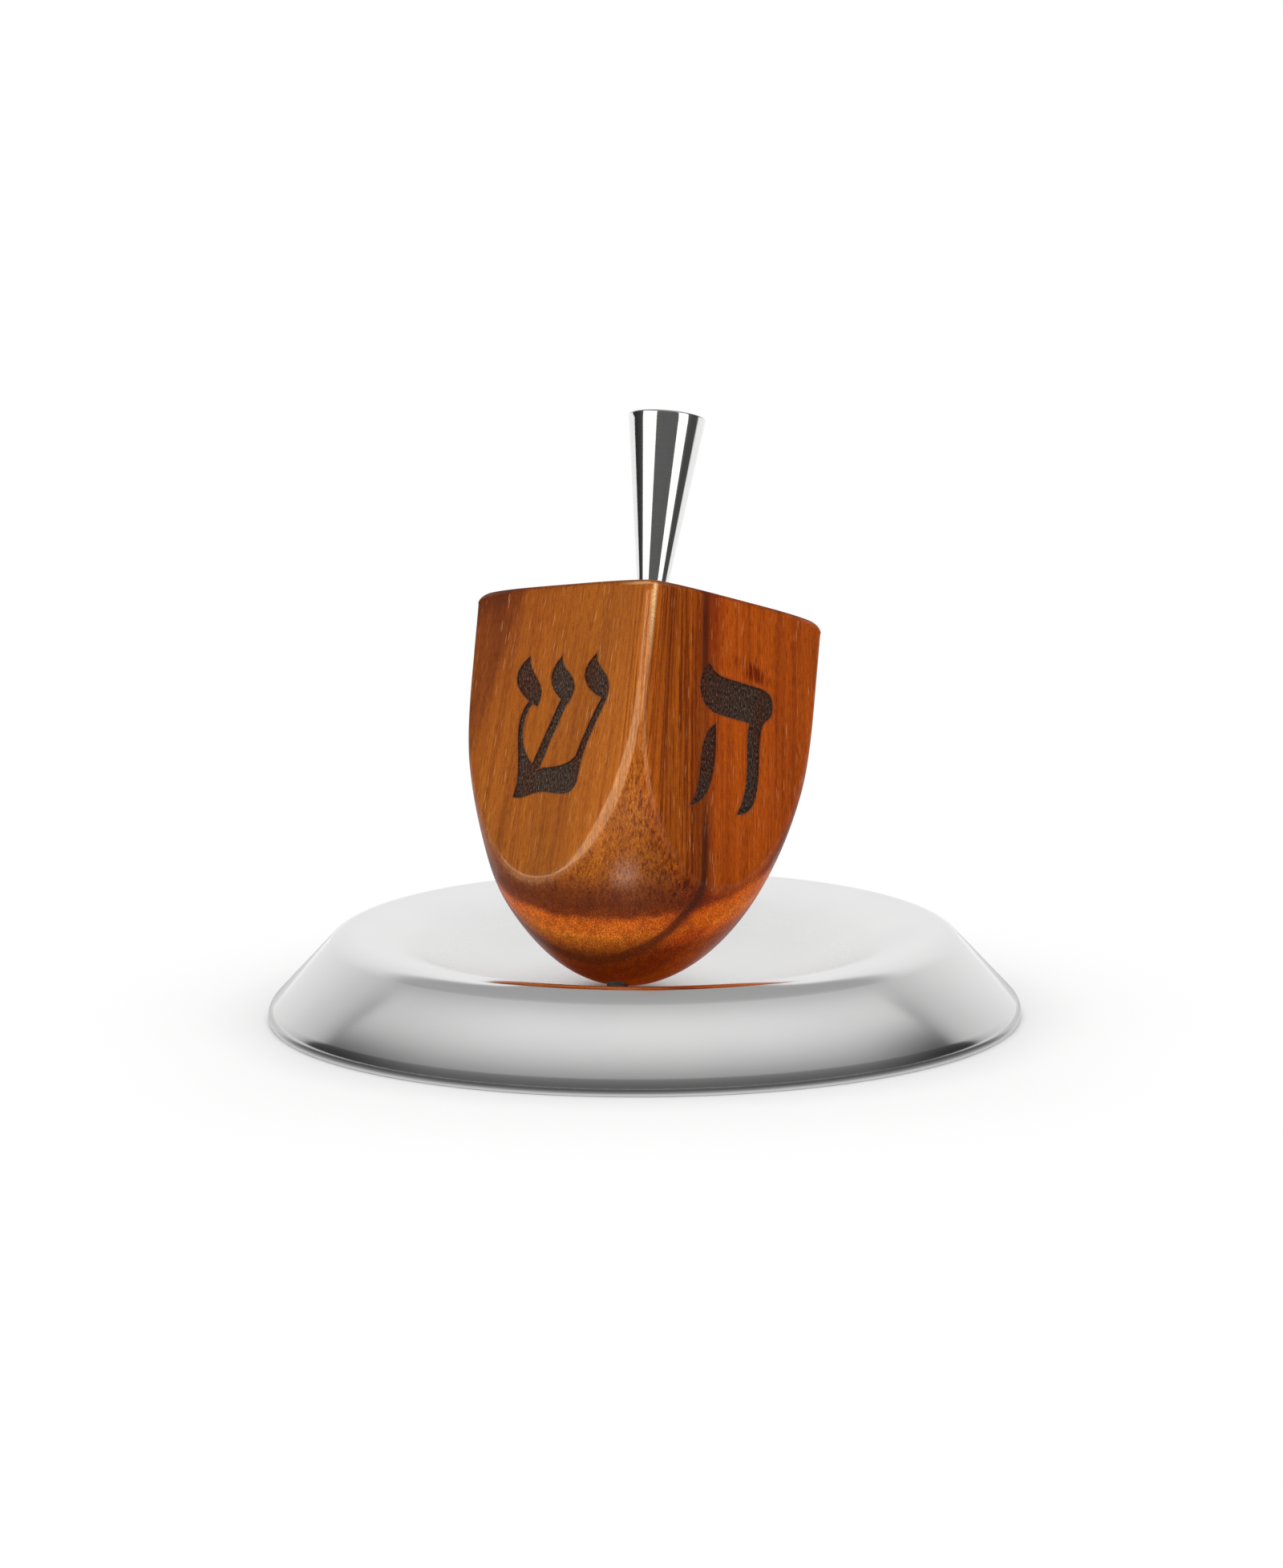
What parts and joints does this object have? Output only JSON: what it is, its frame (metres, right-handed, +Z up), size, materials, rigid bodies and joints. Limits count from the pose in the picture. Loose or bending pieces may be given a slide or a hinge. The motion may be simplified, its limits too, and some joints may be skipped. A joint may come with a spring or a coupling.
{
  "type": "dreidel",
  "caption": "Four-sided wooden spinning top with a domed nose and a tapered metal finger grip, leaning on its tip in a round metal dish.",
  "frame": {"origin": "centre of the dish's underside, on the table", "axes": "+Z up, front toward -Y, +X to the right in the picture"},
  "size_m": [0.127, 0.127, 0.0996],
  "materials": {
    "dish_metal": "polished",
    "wood": "lacquered",
    "handle_metal": "polished, finely turned",
    "stud_steel": "plain",
    "insert_brass": "plain",
    "tip_steel": "polished"
  },
  "bodies": {
    "dish": {"dish": "dish_metal"},
    "dreidel": {"wood_body": "wood", "handle": "handle_metal", "handle_stud": "stud_steel", "threaded_insert": "insert_brass", "spin_tip": "tip_steel"}
  },
  "joints": [
    {"name": "dreidel_spin", "type": "hinge", "parent": "dish", "child": "dreidel", "pos_m": [-0.00455, -0.002, 0.00674], "axis": [0.0919, 0.343, 0.9348], "continuous": true}
  ]
}
